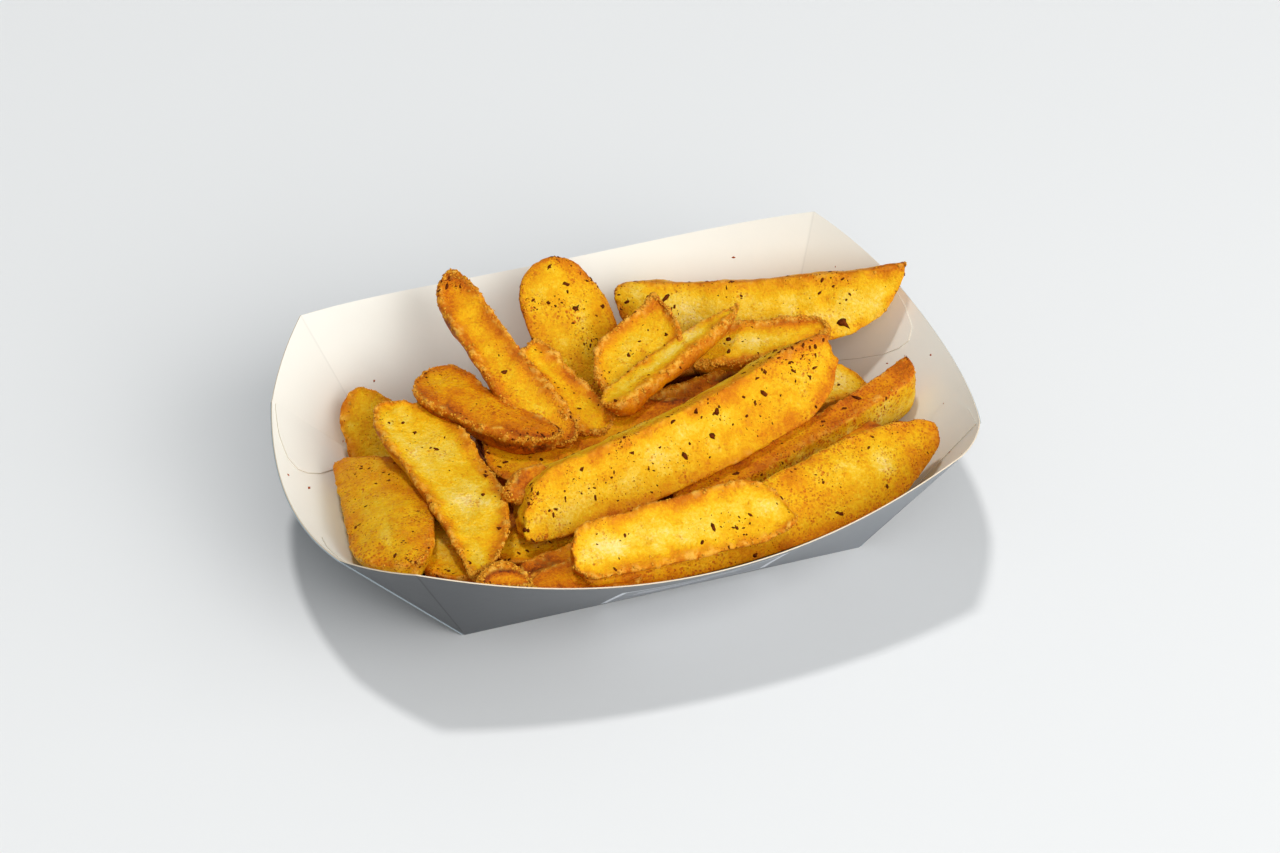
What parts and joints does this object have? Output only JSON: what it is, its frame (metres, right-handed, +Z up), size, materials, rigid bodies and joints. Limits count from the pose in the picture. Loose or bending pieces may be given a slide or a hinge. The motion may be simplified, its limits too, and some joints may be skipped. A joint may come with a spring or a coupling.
{
  "type": "potato wedges in a paper tray",
  "caption": "Open folded paperboard food tray with gusseted corners, holding a loose heap of seasoned fried potato wedges.",
  "frame": {"origin": "middle of the tray's flat underside, on the surface it stands on", "axes": "+X along the tray's length, +Y across it from the front wall to the back wall, +Z up"},
  "size_m": [0.182, 0.134, 0.05],
  "materials": {
    "paperboard": "matte",
    "fried_potato": "satin"
  },
  "bodies": {
    "root": {"tray": "paperboard", "wedge_heap": "fried_potato"}
  },
  "joints": []
}
